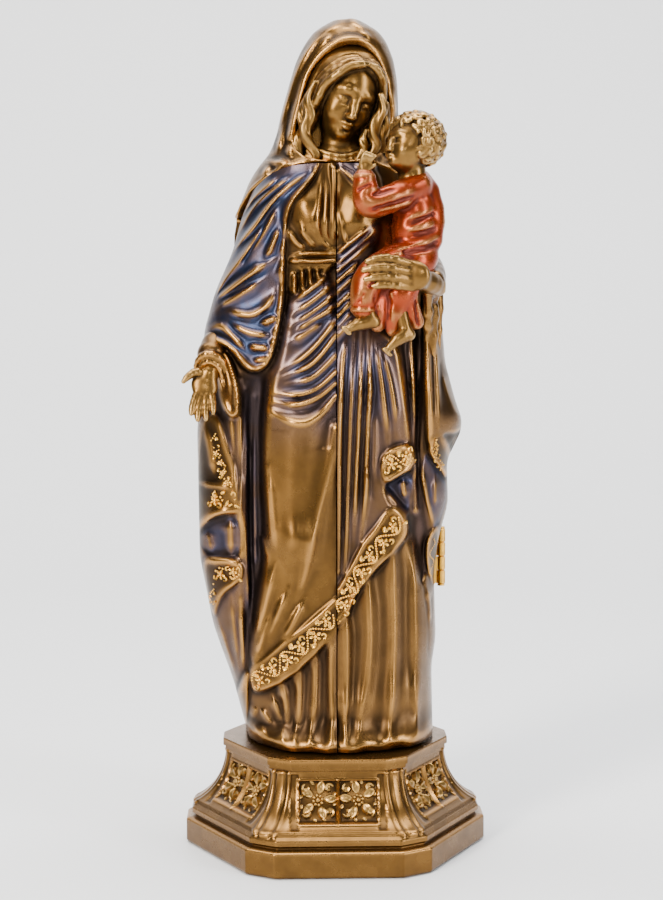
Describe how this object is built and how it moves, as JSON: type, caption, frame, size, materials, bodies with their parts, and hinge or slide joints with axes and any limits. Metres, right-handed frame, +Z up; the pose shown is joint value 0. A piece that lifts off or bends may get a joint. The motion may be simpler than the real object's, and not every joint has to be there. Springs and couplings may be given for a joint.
{
  "type": "madonna statue",
  "caption": "Standing veiled mother holding a robed child on a six-sided plinth; the front of her mantle opens as two hinged doors over an arched niche with a relief.",
  "frame": {"origin": "middle of the plinth's underside, on the surface that it stands on", "axes": "+Z up, the figure faces -Y, +X is towards the child's side, the viewer's right from the front"},
  "size_m": [0.106, 0.0974, 0.289],
  "materials": {
    "bronze": "cold-cast bronze resin, satin, with an antique brown patina",
    "blue_bronze": "cold-cast bronze resin with a navy wash in the folds and gold on the edges",
    "pale_bronze": "cold-cast bronze resin, rubbed pale gold",
    "red_bronze": "cold-cast bronze resin with an orange-red wash",
    "hinge_brass": "bright rolled brass",
    "magnet": "nickel-plated",
    "felt": "wool felt, matt"
  },
  "bodies": {
    "body": {"plinth": "bronze", "felt_pad": "felt", "back_shell": "bronze", "veil_and_collar": "bronze", "head": "pale_bronze", "centre_relief": "pale_bronze", "shell_magnets": "magnet", "shell_screws": "hinge_brass", "left_lower_fixed_leaf": "hinge_brass", "left_upper_fixed_leaf": "hinge_brass", "right_lower_fixed_leaf": "hinge_brass", "right_upper_fixed_leaf": "hinge_brass", "left_lower_pin": "hinge_brass", "left_upper_pin": "hinge_brass", "right_lower_pin": "hinge_brass", "right_upper_pin": "hinge_brass"},
    "left_door": {"left_door": "blue_bronze", "left_relief": "pale_bronze", "open_hand": "pale_bronze", "left_door_magnet": "magnet", "left_door_screws": "hinge_brass", "left_lower_moving_leaf": "hinge_brass", "left_upper_moving_leaf": "hinge_brass"},
    "right_door": {"right_door": "blue_bronze", "right_relief": "pale_bronze", "child_robe": "red_bronze", "child_head": "pale_bronze", "child_feet": "pale_bronze", "holding_hand": "pale_bronze", "right_door_magnet": "magnet", "right_door_screws": "hinge_brass", "right_lower_moving_leaf": "hinge_brass", "right_upper_moving_leaf": "hinge_brass"}
  },
  "joints": [
    {"name": "left_door_hinge", "type": "hinge", "parent": "body", "child": "left_door", "pos_m": [-0.038, 0.002, 0.1306], "axis": [0, 0, -1], "range_deg": [0, 105]},
    {"name": "right_door_hinge", "type": "hinge", "parent": "body", "child": "right_door", "pos_m": [0.038, 0.002, 0.1306], "axis": [0, 0, 1], "range_deg": [0, 105]}
  ]
}
